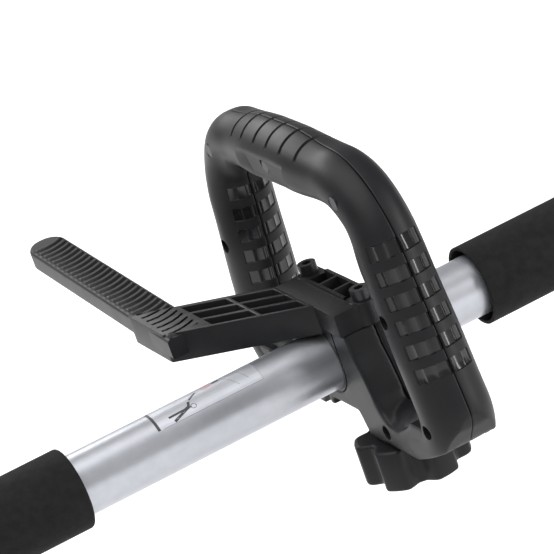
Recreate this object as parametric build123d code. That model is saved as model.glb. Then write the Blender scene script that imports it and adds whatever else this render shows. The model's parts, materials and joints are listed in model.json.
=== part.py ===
from build123d import *
from math import cos, pi, radians, sin
import os

# Battery string trimmer with a two-part shaft, a loop handle and a barrier bar.
# +X runs along the shaft towards the cutting head, +Y to the operator's left, +Z up.
# The row origin is the centre of the harness eyelet. The geometry is drawn with
# z = 0 on the shaft's axis, and save() lowers it by EYELET_RISE.

# Running gaps
SHAFT_GAP = 0.05      # turning pin in a bore, radial
SLIDE_GAP = 0.04      # sliding sleeve on the tube, radial
PART_GAP = 0.3        # between faces of pieces that move past each other
BOLT_GAP = 0.2        # screw shank in its hole, radial

# Shaft
TUBE_R = 14.0
TUBE_WALL = 1.5
LOOP_X = 325.0        # loop handle's mid-plane
UPPER_TUBE_REAR = -66.0
TUBE_JOINT_IN = 69.7  # how far inside the joint sleeve the two tubes meet
HEAD_X = 1185.0       # where the shaft's axis meets the spindle's axis
LEAD_R = 2.5
LEAD_Y = 7.5
LEAD_FROM_DOCK = 55.0     # from the battery dock's floor to the lead's rear end
LEAD_LINK = 10.0          # half of the connector between the two leads
LEAD_STOP = 46.0          # from the lead's front end to HEAD_X

# Shaft sleeve and joint sleeve
SLEEVE_R = TUBE_R + 4.6
SLEEVE_REAR = 24.0
SLEEVE_TO_LOOP = 141.0
SLEEVE_EDGE = 1.5
JOINT_MOUTH_TO_LOOP = 60.3
JOINT_LENGTH = 150.0
MOUTH_DEPTH = 12.0
MOUTH_LIP = 1.5
SPIGOT_WALL = 1.5
SPIGOT_HALF = 41.0
LOCK_PIN_R = 3.0

# Harness eyelet
EYELET_RISE = 32.0
EYELET_R = 6.5
EYELET_LUG = 6.0
EYELET_BAND = 4.0
EYELET_HALF = 8.0

# Loop handle
LOOP_R = 14.7
LOOP_WALL = 3.0
LOOP_TOP_Z = 94.0
LOOP_CREST_Y = 12.0
LOOP_TOP_Y = 70.6
LOOP_SHOULDER_Z = 90.5
LOOP_LOW_Y = 90.5
LOOP_LOW_Z = -21.0
LOOP_END_Y = 27.0
LOOP_END_Z = -33.0
CREST_BEND_R = 80.0
TOP_BEND_R = 29.0
LOW_BEND_R = 16.0
CLAMP_HALF = 15.0     # half of the clamp's length along the shaft
LINER_WALL = 1.5
LIMB_TOP = 18.5
LIMB_BOTTOM = -32.6
LEFT_LIMB_BOTTOM = -27.4  # the left limb has no knob under it and is shorter
BOLT_Y = TUBE_R + 12
BOLT_R = 2.5
NUT_R = 4.6
NUT_SINK = 4.5           # how deep the left bolt's nut is sunk in the limb
LOOP_BOTTOM = -60.0      # below everything of the loop
FOOT_FLAT_Y = 64.0         # the feet are flat below as far out as this
FOOT_RISE_Y = 93.0         # then rise to here
FOOT_RISE_Z = -22.3
SHELL_SCREW_R = 2.0
SHELL_SCREW_HEAD = 3.2

# Barrier bar
PLATE_HALF_Y = 30.0
PLATE_REAR = -16.4
PLATE_FRONT = 6.2
BAR_TOP = 30.0
PLATE_TOP = 29.5
ARM_BOTTOM = 16.0
BAR_BOTTOM = 19.5
BAR_TIP_Y = 211.0
BAR_TIP_R = 9.2

# Star knob
KNOB_R = 24.2
KNOB_TOP = LIMB_BOTTOM - 1.0
KNOB_HEIGHT = 19.5
KNOB_LOBES = 6
KNOB_FIRST_LOBE = 38.0   # degrees round the bolt
SCALLOP_R = 9.0
SCALLOP_DEPTH = 4.9
INSERT_R = 5.6

# Rear handle and battery
HOUSING_FRONT = -14.0
HOUSING_WALL = 3.0
COLLAR_R = TUBE_R + 9
GRIP_FRONT = -60.0
GRIP_REAR = -215.0
GRIP_HALF_Y = 18.0
GRIP_TOP = 20.0
GRIP_BOTTOM = -23.0
BOX_REAR = -330.0
BOX_HALF_Y = 44.0
BOX_TOP = 44.0
BOX_BOTTOM = -62.0
BOW_DROP = 29.0
BOW_THICK = 10.0
BOW_HALF_Y = 12.0
DOCK_DEPTH = 65.0
DOCK_HALF_Y = 33.0
DOCK_TOP = 27.0
DOCK_BOTTOM = -45.0
PACK_LENGTH = 72.0
PACK_HALF_Y = 42.0
PACK_TOP = 40.0
PACK_BOTTOM = -58.0
CELL_R = 9.1
CELL_LENGTH = 65.0
TRIGGER_X = -95.0
TRIGGER_Z = -14.0
TRIGGER_HALF_Y = 7.0
CONTROL_PIN_R = 2.0
LOCK_OFF_X = -112.0
LOCK_OFF_Z = 11.0

# Motor head, in its own frame: z runs up along the spindle, z = 0 near the guard
HEAD_TILT = 32.0
SPINDLE_MEETS = 58.0  # height where the shaft's axis meets the spindle's
MOTOR_R = 47.0
MOTOR_TOP = 92.0
MOTOR_FLOOR = 21.9
MOTOR_BASE = 8.0
HEAD_WALL = 3.0
NECK_R = TUBE_R + 8
NECK_LENGTH = 120.0
NECK_STOP = 62.0
SPINDLE_R = 5.0
CAN_R = 38.5
CAN_WALL = 2.3
BEARING_R = 13.0
BEARING_WIDTH = 8.0
ROTOR_R = 22.0
STATOR_GAP = 0.6

# Cutting head
HUB_R = 15.0
SPOOL_R = 52.0
SPOOL_TOP = -4.0
SPOOL_BOTTOM = -36.0
SPOOL_WALL = 3.0
LINE_R = 1.2
LINE_Z = -20.0
LINE_REACH = 150.0
BUMP_R = 23.7
BUMP_TRAVEL = 5.0     # the bump knob's stroke towards the head
REEL_R = 44.0
REEL_CORE_R = 14.0
REEL_BOTTOM = -35.0
REEL_FLANGE = 2.0
WOUND_R = 39.0
HOUSING_FLOOR = 4.0   # thickness of the spool housing's top

# Guard
GUARD_R = 165.0
GUARD_PLATE = 3.6
GUARD_SKIRT = 3.0
SKIRT_BOTTOM = -45.0
GUARD_FROM = 100.0    # sector of the guard, degrees round the spindle
GUARD_TO = 260.0

os.makedirs("parts", exist_ok=True)

sleeve_front = LOOP_X - SLEEVE_TO_LOOP
joint_mouth = LOOP_X + JOINT_MOUTH_TO_LOOP
joint_end = joint_mouth + JOINT_LENGTH
tube_joint_x = joint_mouth + TUBE_JOINT_IN
reel_top = SPOOL_TOP - HOUSING_FLOOR - BUMP_TRAVEL - PART_GAP - 0.1
lower_tube_end = HEAD_X - NECK_STOP
liner_r = TUBE_R + LINER_WALL
clamp_bore_r = liner_r + SHAFT_GAP
head_place = Location(
    (HEAD_X + SPINDLE_MEETS * sin(radians(HEAD_TILT)), 0, -SPINDLE_MEETS * cos(radians(HEAD_TILT))),
    (0, -HEAD_TILT, 0),
)
loop_place = Pos(LOOP_X, 0, 0)


def block(x0, x1, y0, y1, z0, z1):
    return Pos((x0 + x1) / 2, (y0 + y1) / 2, (z0 + z1) / 2) * Box(x1 - x0, y1 - y0, z1 - z0)


def rod_x(r, x0, x1, y=0.0, z=0.0):
    return Pos((x0 + x1) / 2, y, z) * Rot(0, 90, 0) * Cylinder(r, x1 - x0)


def rod_y(r, x, z, y0, y1):
    return Pos(x, (y0 + y1) / 2, z) * Rot(90, 0, 0) * Cylinder(r, y1 - y0)


def rod_z(r, z0, z1, x=0.0, y=0.0):
    return Pos(x, y, (z0 + z1) / 2) * Cylinder(r, z1 - z0)


def ring_z(r_out, r_in, z0, z1, x=0.0, y=0.0):
    return rod_z(r_out, z0, z1, x, y) - rod_z(r_in, z0 - 1, z1 + 1, x, y)


def hex_z(r, z0, z1, x=0.0, y=0.0):
    return Pos(x, y, z0) * extrude(RegularPolygon(r, 6), z1 - z0)


def coil_spring(r, wire_r, height, turns):
    path = Helix(height / turns, height, r)
    section = Plane(origin=path @ 0, z_dir=path % 0) * Circle(wire_r)
    return sweep(section, path=path)


def rounded_block(x0, x1, y0, y1, z0, z1, r):
    body = block(x0, x1, y0, y1, z0, z1)
    return fillet(body.edges().filter_by(Axis.X), r)


def save(name, shape):
    export_step(Pos(0, 0, -EYELET_RISE) * shape, "parts/" + name + ".step")


# ---- Shaft ----

def tube(x0, x1):
    return rod_x(TUBE_R, x0, x1) - rod_x(TUBE_R - TUBE_WALL, x0 - 1, x1 + 1)


lock_pin_x = tube_joint_x + SPIGOT_HALF + 12
joint_screw_xs = (tube_joint_x - 27, tube_joint_x + 27)
joint_screw_reach = TUBE_R - TUBE_WALL - SPIGOT_WALL


def joint_screw_holes():
    holes = [rod_z(BOLT_R + BOLT_GAP, -SLEEVE_R - 5, -joint_screw_reach + 1, x) for x in joint_screw_xs]
    return Part() + holes


def upper_tube():
    return tube(UPPER_TUBE_REAR, tube_joint_x - 0.5) - joint_screw_holes()


def lower_tube():
    pin_hole = rod_z(LOCK_PIN_R + BOLT_GAP, 0, TUBE_R + 2, lock_pin_x)
    return tube(tube_joint_x + 0.5, lower_tube_end) - joint_screw_holes() - pin_hole


def joint_spigot():
    r = TUBE_R - TUBE_WALL - 0.05
    x0 = tube_joint_x - SPIGOT_HALF
    x1 = tube_joint_x + SPIGOT_HALF
    return rod_x(r, x0, x1) - rod_x(r - SPIGOT_WALL, x0 - 1, x1 + 1) - joint_screw_holes()


def joint_sleeve():
    body = rod_x(SLEEVE_R, joint_mouth, joint_end)
    boss_top = SLEEVE_R + 9
    body += rod_z(9, 0, boss_top, lock_pin_x)
    body -= rod_x(TUBE_R + 0.02, joint_mouth - 1, joint_end + 1)
    body -= rod_x(SLEEVE_R - MOUTH_LIP, joint_mouth - 1, joint_mouth + MOUTH_DEPTH)
    body -= rod_z(LOCK_PIN_R + SHAFT_GAP, 0, boss_top + 1, lock_pin_x)
    body -= rod_z(6, TUBE_R + 3, boss_top - 2, lock_pin_x)
    body -= joint_screw_holes()
    return body


def joint_screws():
    screws = []
    for x in joint_screw_xs:
        screw = rod_z(BOLT_R, -SLEEVE_R - 0.5, -joint_screw_reach + 0.5, x)
        screw += rod_z(4.4, -SLEEVE_R - 3, -SLEEVE_R, x)
        screw -= hex_z(1.8, -SLEEVE_R - 4, -SLEEVE_R - 1.2, x)
        screws.append(screw)
    return Part() + screws


def lock_pin():
    top = SLEEVE_R + 9
    pin = rod_z(LOCK_PIN_R, TUBE_R - TUBE_WALL, top + 8, lock_pin_x)
    pin += rod_z(5.6, TUBE_R + 3.3, TUBE_R + 4.8, lock_pin_x)
    pin += fillet(rod_z(8, top + PART_GAP, top + 9, lock_pin_x).edges(), 1.5)
    return pin


def lock_pin_spring():
    z0 = TUBE_R + 5.6
    z1 = SLEEVE_R + 6.2
    return Pos(lock_pin_x, 0, z0) * coil_spring(4.4, 0.5, z1 - z0, 3)


def shaft_sleeve():
    body = rod_x(SLEEVE_R, SLEEVE_REAR, sleeve_front)
    body = fillet(body.edges(), SLEEVE_EDGE)
    return body - rod_x(TUBE_R + 0.02, SLEEVE_REAR - 1, sleeve_front + 1)


def lead(x0, x1):
    return rod_x(LEAD_R, x0, x1, LEAD_Y)


def lead_connector():
    return rod_x(LEAD_R + 1.9, tube_joint_x - LEAD_LINK, tube_joint_x + LEAD_LINK, LEAD_Y - 1.5)


# ---- Harness eyelet ----

eyelet_screw_z = -TUBE_R - EYELET_BAND - 6


def eyelet_bracket():
    band = rod_x(TUBE_R + EYELET_BAND, -EYELET_HALF, EYELET_HALF)
    lug_r = EYELET_R + 4.5
    lug = block(-EYELET_HALF, EYELET_HALF, -EYELET_LUG / 2, EYELET_LUG / 2, TUBE_R, EYELET_RISE)
    lug += rod_y(lug_r, 0, EYELET_RISE, -EYELET_LUG / 2, EYELET_LUG / 2)
    ears = block(-EYELET_HALF, EYELET_HALF, -6, 6, eyelet_screw_z - 5, -TUBE_R)
    body = band + lug + ears
    body -= rod_x(TUBE_R + 0.02, -EYELET_HALF - 1, EYELET_HALF + 1)
    body -= block(-EYELET_HALF - 1, EYELET_HALF + 1, -1, 1, eyelet_screw_z - 6, -TUBE_R + 1)
    body -= rod_y(EYELET_R, 0, EYELET_RISE, -EYELET_LUG, EYELET_LUG)
    return body - rod_y(BOLT_R + BOLT_GAP, 0, eyelet_screw_z, -20, 20)


def eyelet_screw():
    screw = rod_y(BOLT_R, 0, eyelet_screw_z, -10, 10) + rod_y(4.2, 0, eyelet_screw_z, 6, 10)
    return screw + rod_y(4.4, 0, eyelet_screw_z, -9, -6)


# ---- Loop handle ----

def loop_path(end_y, end_z):
    corners = [
        (end_y, end_z),
        (LOOP_LOW_Y, LOOP_LOW_Z),
        (LOOP_TOP_Y, LOOP_SHOULDER_Z),
        (LOOP_CREST_Y, LOOP_TOP_Z),
    ]
    points = [(0, -y, z) for y, z in corners] + [(0, y, z) for y, z in reversed(corners)]
    bends = [LOW_BEND_R, TOP_BEND_R, CREST_BEND_R]
    return FilletPolyline(*points, radius=bends + bends[::-1])


def loop_tube(r, end_y, end_z):
    path = loop_path(end_y, end_z)
    section = Plane(origin=path @ 0, z_dir=path % 0) * Circle(r)
    return sweep(section, path=path)


def limb(side):
    # The clamp's limb beside the shaft: a flat block that hugs the tube and takes one bolt.
    outline = Polyline(
        (0, LIMB_TOP),
        (29.5, LIMB_TOP),
        (31.5, 8),
        (36, -1),
        (38.3, -10),
        (42, -17),
        (49, -21),
        (57, -22.5),
        (57, LIMB_BOTTOM + 3),
        (50, LIMB_BOTTOM),
        (21, LIMB_BOTTOM),
        (16.5, -21.3),
        (0, -21.3),
        close=True,
    )
    face = Plane.YZ * make_face(outline)
    body = extrude(face, CLAMP_HALF, both=True)
    return body if side > 0 else mirror(body, Plane.XZ)


shell_screw_places = [
    (0, 93),
    (-63.5, 88),
    (63.5, 88),
    (-80, 37.5),
    (80, 37.5),
    (-88, -12),
    (88, -12),
    (-41, -25.5),
    (41, -25.5),
]


def underside(inset):
    # What is cut away under the loop: its feet are flat below, then rise to the arms' outer sides.
    outline = Polyline(
        (0, LOOP_BOTTOM),
        (0, LIMB_BOTTOM + inset),
        (FOOT_FLAT_Y, LIMB_BOTTOM + inset),
        (FOOT_RISE_Y - inset / 2, FOOT_RISE_Z + inset),
        (FOOT_RISE_Y - inset / 2 + 8.5, FOOT_RISE_Z + inset + 10),
        (FOOT_RISE_Y - inset / 2 + 13, FOOT_RISE_Z + inset + 22),
        (FOOT_RISE_Y + 30, FOOT_RISE_Z + inset + 22),
        (FOOT_RISE_Y + 30, LOOP_BOTTOM),
        close=True,
    )
    right = extrude(Plane.YZ * make_face(outline), CLAMP_HALF + 5, both=True)
    return right + mirror(right, Plane.XZ)


def left_underside():
    # The left limb has no knob below it and is shorter, so its foot slopes up to the clamp.
    outline = Polyline(
        (13, LOOP_BOTTOM),
        (13, LEFT_LIMB_BOTTOM),
        (30, LEFT_LIMB_BOTTOM),
        (FOOT_FLAT_Y, LIMB_BOTTOM),
        (FOOT_FLAT_Y, LOOP_BOTTOM),
        close=True,
    )
    return extrude(Plane.YZ * make_face(outline), CLAMP_HALF + 5, both=True)


def screw_x(r, y, z, x0, x1):
    return rod_x(r, x0, x1, y, z)


def loop_body():
    body = loop_tube(LOOP_R, LOOP_END_Y, LOOP_END_Z) + limb(1) + limb(-1)
    hollow = loop_tube(LOOP_R - LOOP_WALL, LOOP_END_Y + 32, LOOP_END_Z + 6) - underside(LOOP_WALL)
    bosses = Part() + [screw_x(4.6, y, z, -14, 14) for y, z in shell_screw_places]
    body -= hollow - bosses
    slit = block(-20, 20, 13.8, 17.3, -40, 0)
    tube_seat = rod_x(clamp_bore_r, -20, 20)
    saddle_slot = block(-20, 20, -15.2, 15.2, 4, 30)
    nut_pocket = hex_z(NUT_R + BOLT_GAP, LOOP_BOTTOM, LEFT_LIMB_BOTTOM + NUT_SINK, 0, BOLT_Y)
    body -= slit + tube_seat
    body -= saddle_slot
    body -= underside(0)
    body -= left_underside()
    body -= nut_pocket
    for side in (-1, 1):
        body -= rod_z(BOLT_R + BOLT_GAP, -60, 40, 0, side * BOLT_Y)
    for y, z in shell_screw_places:
        body -= screw_x(SHELL_SCREW_R + BOLT_GAP, y, z, -20, 10)
        body -= screw_x(SHELL_SCREW_HEAD + BOLT_GAP, y, z, -20, -10)
    return body


def loop_half_shell(body, side):
    x0, x1 = sorted((0, side * 40))
    return loop_place * (body & block(x0, x1, -150, 150, -80, 150))


def shell_screws():
    screws = []
    for y, z in shell_screw_places:
        screw = screw_x(SHELL_SCREW_R, y, z, -12, 9) + screw_x(SHELL_SCREW_HEAD, y, z, -12.5, -10)
        screws.append(screw)
    return loop_place * (Part() + screws)


def clamp_liner():
    body = rod_x(liner_r, -CLAMP_HALF, CLAMP_HALF)
    return loop_place * (body - rod_x(TUBE_R + SLIDE_GAP, -CLAMP_HALF - 1, CLAMP_HALF + 1))


def arm_outline():
    return Polyline(
        (PLATE_REAR, -PLATE_HALF_Y + 3),
        (PLATE_REAR, 31),
        (-52.4, 62),
        (-70.7, 39.7),
        (-69.7, 34),
        (-20.4, -9),
        close=True,
    )


def bar_outline():
    return Polyline(
        (-70.7, 38),
        (-52.4, 60),
        (-46.4, BAR_TIP_Y),
        (-64.8, BAR_TIP_Y),
        close=True,
    )


def arm_pockets():
    # Two rows of three skewed pockets between the ribs of the arm.
    pockets = []
    slope = -0.885
    for x0, x1 in ((-33.2, -18.4), (-51.2, -35.6)):
        for row in range(3):
            y0 = 31.6 - 13.6 * row + slope * (x0 + 25)
            y1 = y0 + slope * (x1 - x0)
            corners = [(x0, y0 - 4.4), (x1, y1 - 4.4), (x1, y1 + 5.2), (x0, y0 + 5.2)]
            face = make_face(Polyline(*corners, close=True))
            pockets.append(Pos(0, 0, ARM_BOTTOM + 3) * extrude(face, 20))
    return Part() + pockets


def barrier_bar():
    arm = Pos(0, 0, ARM_BOTTOM) * extrude(make_face(arm_outline()), BAR_TOP - ARM_BOTTOM)
    bar = Pos(0, 0, BAR_BOTTOM) * extrude(make_face(bar_outline()), BAR_TOP - BAR_BOTTOM)
    bar += rod_z(BAR_TIP_R, BAR_BOTTOM, BAR_TOP, -55.6, BAR_TIP_Y)
    plate = block(PLATE_REAR, PLATE_FRONT, -PLATE_HALF_Y, PLATE_HALF_Y, LIMB_TOP, PLATE_TOP)
    saddle = block(-CLAMP_HALF, CLAMP_HALF, -15, 15, 4.5, LIMB_TOP)
    body = arm - arm_pockets() + bar + plate + saddle
    for side in (-1, 1):
        body += rod_z(6, LIMB_TOP, PLATE_TOP, 0, side * BOLT_Y)
    for y0 in (-18.5, -5.8, 6.9):
        body -= block(-4.2, 4.4, y0, y0 + 11.6, LIMB_TOP + 2, 40)
    for side in (-1, 1):
        body -= rod_z(BOLT_R + BOLT_GAP, 0, 40, 0, side * BOLT_Y)
    body -= rod_x(clamp_bore_r, -90, 20)
    return loop_place * body


def clamp_bolts():
    bolts = []
    for side, end in ((-1, KNOB_TOP - KNOB_HEIGHT + 6), (1, LEFT_LIMB_BOTTOM)):
        bolt = rod_z(BOLT_R, end, PLATE_TOP, 0, side * BOLT_Y)
        bolt += rod_z(4.25, PLATE_TOP, PLATE_TOP + 5, 0, side * BOLT_Y)
        bolts.append(bolt - hex_z(2.3, PLATE_TOP + 2.2, PLATE_TOP + 6, 0, side * BOLT_Y))
    return loop_place * (Part() + bolts)


def clamp_nut():
    nut_top = LEFT_LIMB_BOTTOM + NUT_SINK
    nut = hex_z(NUT_R, nut_top - 4, nut_top, 0, BOLT_Y)
    return loop_place * (nut - rod_z(BOLT_R + 0.02, -60, 0, 0, BOLT_Y))


def knob_washer():
    return loop_place * ring_z(8, BOLT_R + SHAFT_GAP, KNOB_TOP, LIMB_BOTTOM - 0.05, 0, -BOLT_Y)


def star_knob():
    body = rod_z(KNOB_R, KNOB_TOP - KNOB_HEIGHT, KNOB_TOP, 0, -BOLT_Y)
    for lobe in range(KNOB_LOBES):
        angle = radians(KNOB_FIRST_LOBE) + 2 * pi * (lobe + 0.5) / KNOB_LOBES
        reach = KNOB_R - SCALLOP_DEPTH + SCALLOP_R
        x = reach * cos(angle)
        y = reach * sin(angle) - BOLT_Y
        body -= rod_z(SCALLOP_R, KNOB_TOP - KNOB_HEIGHT - 1, KNOB_TOP + 1, x, y)
    body -= hex_z(INSERT_R + 0.02, KNOB_TOP - KNOB_HEIGHT + 3, KNOB_TOP + 1, 0, -BOLT_Y)
    return loop_place * body


def knob_insert():
    body = hex_z(INSERT_R, KNOB_TOP - KNOB_HEIGHT + 3, KNOB_TOP, 0, -BOLT_Y)
    return loop_place * (body - rod_z(BOLT_R + SHAFT_GAP, -60, 0, 0, -BOLT_Y))


# ---- Rear handle ----

housing_screw_places = [
    (-30, TUBE_R + 4.5),
    (-52, -TUBE_R - 4.5),
    (-190, 15),
    (-222, 36),
    (-222, -54),
]
bow_front = -78.0
bow_bottom = GRIP_BOTTOM - BOW_DROP - BOW_THICK


def housing_body():
    collar = rod_x(COLLAR_R, GRIP_FRONT - 12, HOUSING_FRONT)
    grip = rounded_block(GRIP_REAR, GRIP_FRONT, -GRIP_HALF_Y, GRIP_HALF_Y, GRIP_BOTTOM, GRIP_TOP, 13)
    box = rounded_block(BOX_REAR, GRIP_REAR + 12, -BOX_HALF_Y, BOX_HALF_Y, BOX_BOTTOM, BOX_TOP, 12)
    bow = rounded_block(GRIP_REAR, bow_front, -BOW_HALF_Y, BOW_HALF_Y, bow_bottom, bow_bottom + BOW_THICK, 4)
    post = block(bow_front - BOW_THICK, bow_front, -BOW_HALF_Y, BOW_HALF_Y, bow_bottom + 4, GRIP_BOTTOM + 6)
    w = HOUSING_WALL
    grip_room = rounded_block(
        GRIP_REAR, UPPER_TUBE_REAR - 2, -GRIP_HALF_Y + w, GRIP_HALF_Y - w, GRIP_BOTTOM + w, GRIP_TOP - w, 10
    )
    wall_x = BOX_REAR + DOCK_DEPTH + w
    box_room = rounded_block(
        wall_x, GRIP_REAR + 12 - w, -BOX_HALF_Y + w, BOX_HALF_Y - w, BOX_BOTTOM + w, BOX_TOP - w, 9
    )
    dock = block(BOX_REAR - 1, BOX_REAR + DOCK_DEPTH, -DOCK_HALF_Y, DOCK_HALF_Y, DOCK_BOTTOM, DOCK_TOP)
    body = collar + grip + box + bow + post
    bosses = Part() + [rod_y(4.5, x, z, -BOX_HALF_Y, BOX_HALF_Y) for x, z in housing_screw_places[2:]]
    rooms = grip_room + box_room
    body -= rooms - bosses
    body -= dock
    body -= rod_x(TUBE_R + 0.02, UPPER_TUBE_REAR, HOUSING_FRONT + 1)
    body -= rod_x(TUBE_R - 3, UPPER_TUBE_REAR - 5, UPPER_TUBE_REAR + 1)
    slot = TRIGGER_HALF_Y + 0.6
    body -= block(TRIGGER_X - 54, TRIGGER_X + 9, -slot, slot, GRIP_BOTTOM - 1, TRIGGER_Z)
    body -= block(LOCK_OFF_X - 34, LOCK_OFF_X + 6, -6.6, 6.6, LOCK_OFF_Z, GRIP_TOP + 1)
    body -= rod_y(CONTROL_PIN_R + 0.02, TRIGGER_X, TRIGGER_Z, -16, 16)
    body -= rod_y(CONTROL_PIN_R + 0.02, LOCK_OFF_X, LOCK_OFF_Z, -16, 16)
    for x, z in housing_screw_places:
        body -= rod_y(SHELL_SCREW_R + BOLT_GAP, x, z, -60, 8)
        body -= rod_y(SHELL_SCREW_HEAD + BOLT_GAP, x, z, -60, -screw_seat(x))
    for y in terminal_ys:
        body -= block(wall_x - w - 1, wall_x + 1, y - 0.55, y + 0.55, -15.05, -4.95)
    return body


terminal_ys = (-12.0, 0.0, 12.0)


def screw_seat(x):
    return 10.0 if x > GRIP_REAR else BOX_HALF_Y - 5


def half_y(body, side):
    y0, y1 = sorted((0, side * 200))
    return body & block(-600, 1500, y0, y1, -300, 300)


def housing_screws():
    screws = []
    for x, z in housing_screw_places:
        seat = screw_seat(x)
        screws.append(rod_y(SHELL_SCREW_R, x, z, -seat, 7) + rod_y(SHELL_SCREW_HEAD, x, z, -seat - 2, -seat))
    return Part() + screws


def trigger():
    outline = Polyline(
        (TRIGGER_X + 5, TRIGGER_Z - 6),
        (TRIGGER_X + 2, TRIGGER_Z - 18),
        (TRIGGER_X - 12, TRIGGER_Z - 24),
        (TRIGGER_X - 34, TRIGGER_Z - 21),
        (TRIGGER_X - 48, TRIGGER_Z - 14),
        (TRIGGER_X - 50, TRIGGER_Z - 8),
        (TRIGGER_X - 30, TRIGGER_Z - 4),
        (TRIGGER_X, TRIGGER_Z + 3),
        close=True,
    )
    body = extrude(Plane.XZ * make_face(outline), TRIGGER_HALF_Y, both=True)
    body += rod_y(5, TRIGGER_X, TRIGGER_Z, -TRIGGER_HALF_Y, TRIGGER_HALF_Y)
    return body - rod_y(CONTROL_PIN_R + SHAFT_GAP, TRIGGER_X, TRIGGER_Z, -20, 20)


def control_pins():
    trigger_pin = rod_y(CONTROL_PIN_R, TRIGGER_X, TRIGGER_Z, -15.5, 15.5)
    return trigger_pin + rod_y(CONTROL_PIN_R, LOCK_OFF_X, LOCK_OFF_Z, -15.5, 15.5)


def trigger_spring():
    spring = coil_spring(3.0, 0.4, 3.4, 4)
    return Pos(TRIGGER_X, TRIGGER_HALF_Y + 4.2, TRIGGER_Z) * Rot(90, 0, 0) * spring


def lock_off_lever():
    x1 = LOCK_OFF_X + 5
    x0 = LOCK_OFF_X - 32
    body = block(x0, x1, -6, 6, LOCK_OFF_Z + 1, GRIP_TOP - 2)
    body += rod_y(4, LOCK_OFF_X, LOCK_OFF_Z, -6, 6)
    cap = block(x0, LOCK_OFF_X - 8, -6, 6, GRIP_TOP - 3, GRIP_TOP + 6)
    body += fillet(cap.edges().filter_by(Axis.Y), 2)
    return body - rod_y(CONTROL_PIN_R + SHAFT_GAP, LOCK_OFF_X, LOCK_OFF_Z, -20, 20)


def lock_off_spring():
    return Pos(LOCK_OFF_X - 20, 0, 4.6) * coil_spring(2.6, 0.4, 6.8, 4)


def speed_switch():
    body = block(TRIGGER_X - 44, TRIGGER_X - 20, -4.5, 4.5, -2, 4)
    return body + block(TRIGGER_X - 36, TRIGGER_X - 32, -2, 2, -9.5, -2)


def control_board():
    x0 = BOX_REAR + DOCK_DEPTH + HOUSING_WALL + 16
    board = block(x0, x0 + 1.6, -30, 30, -48, 28)
    parts = [rod_x(7, x0 - 14, x0, -16, z) for z in (12, -32)]
    parts += [block(x0 - 5, x0, 6, 16, z, z + 9) for z in (-42, -30, 2, 14)]
    return board + parts


def terminal_block():
    wall_x = BOX_REAR + DOCK_DEPTH + HOUSING_WALL
    body = block(wall_x, wall_x + 6, -18, 18, -18, -2)
    return body + [block(wall_x - 14, wall_x, y - 0.5, y + 0.5, -15, -5) for y in terminal_ys]


# ---- Battery pack ----

pack_front = BOX_REAR - 0.4
pack_rear = BOX_REAR - PACK_LENGTH
latch_x = (-362.0, -342.0)


def battery_case():
    front = BOX_REAR + DOCK_DEPTH - 0.4
    nose_y = DOCK_HALF_Y - PART_GAP
    nose = block(pack_front - 4, front, -nose_y, nose_y, DOCK_BOTTOM + PART_GAP, DOCK_TOP - PART_GAP)
    shell = rounded_block(pack_rear + 3, pack_front, -PACK_HALF_Y, PACK_HALF_Y, PACK_BOTTOM, PACK_TOP, 9)
    room = block(pack_rear, pack_front - 3, -PACK_HALF_Y + 3, PACK_HALF_Y - 3, PACK_BOTTOM + 3, PACK_TOP - 9)
    nose_room = block(pack_front - 5, front - 14, -27, 27, -40, 22)
    body = nose + shell - room - nose_room
    for y in terminal_ys:
        body -= block(front - 15, front + 1, y - 1.2, y + 1.2, -15.7, -4.3)
    return body - block(latch_x[0], latch_x[1], -11, 11, PACK_TOP - 7, PACK_TOP + 1)


def battery_cap():
    body = rounded_block(pack_rear, pack_rear + 3, -PACK_HALF_Y, PACK_HALF_Y, PACK_BOTTOM, PACK_TOP, 9)
    return body


def battery_cells():
    cells = []
    for column in range(3):
        for row in range(4):
            x = pack_rear + 14 + column * 2 * (CELL_R + 0.3)
            z = PACK_BOTTOM + 15.5 + row * 2 * (CELL_R + 0.6)
            cells.append(rod_y(CELL_R, x, z, -CELL_LENGTH / 2, CELL_LENGTH / 2))
    return Part() + cells


def battery_latch():
    x0, x1 = latch_x
    body = block(x0 + PART_GAP, x1 - PART_GAP, -11 + PART_GAP, 11 - PART_GAP, PACK_TOP - 3, PACK_TOP + 3)
    return fillet(body.edges().group_by(Axis.Z)[-1], 1.5)


def latch_spring():
    return Pos(sum(latch_x) / 2, 0, PACK_TOP - 6.5) * coil_spring(3, 0.4, 3, 3)


# ---- Motor head ----

def head_body():
    barrel = fillet(rod_z(MOTOR_R, MOTOR_BASE, MOTOR_TOP).edges().group_by(Axis.Z)[-1], 16)
    room = rod_z(MOTOR_R - HEAD_WALL, MOTOR_FLOOR, MOTOR_TOP - HEAD_WALL)
    room = fillet(room.edges().group_by(Axis.Z)[-1], 13)
    neck = rod_x(NECK_R, HEAD_X - NECK_LENGTH, HEAD_X - 30)
    lead_way = rod_x(TUBE_R - 3, HEAD_X - NECK_STOP - 1, HEAD_X - 30)
    body = head_place * barrel + neck
    body -= head_place * room
    body -= rod_x(TUBE_R + 0.02, HEAD_X - NECK_LENGTH - 1, lower_tube_end)
    body -= lead_way
    body -= head_place * rod_z(BEARING_R + 0.02, MOTOR_BASE - 1, MOTOR_FLOOR + 1)
    for angle in guard_screw_angles:
        body -= head_place * guard_screw_hole(angle)
    for x, z in head_screw_places:
        body -= rod_y(SHELL_SCREW_R + BOLT_GAP, x, z, -60, 8)
        body -= rod_y(SHELL_SCREW_HEAD + BOLT_GAP, x, z, -60, -6)
    return body


guard_screw_angles = (45.0, 135.0, 225.0, 315.0)
guard_screw_circle = 36.0
head_screw_places = [(HEAD_X - 112, TUBE_R + 4), (HEAD_X - 112, -TUBE_R - 4)]


def guard_screw_hole(angle):
    x = guard_screw_circle * cos(radians(angle))
    y = guard_screw_circle * sin(radians(angle))
    return rod_z(SHELL_SCREW_R + BOLT_GAP, -5, MOTOR_BASE + 12, x, y)


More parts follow.
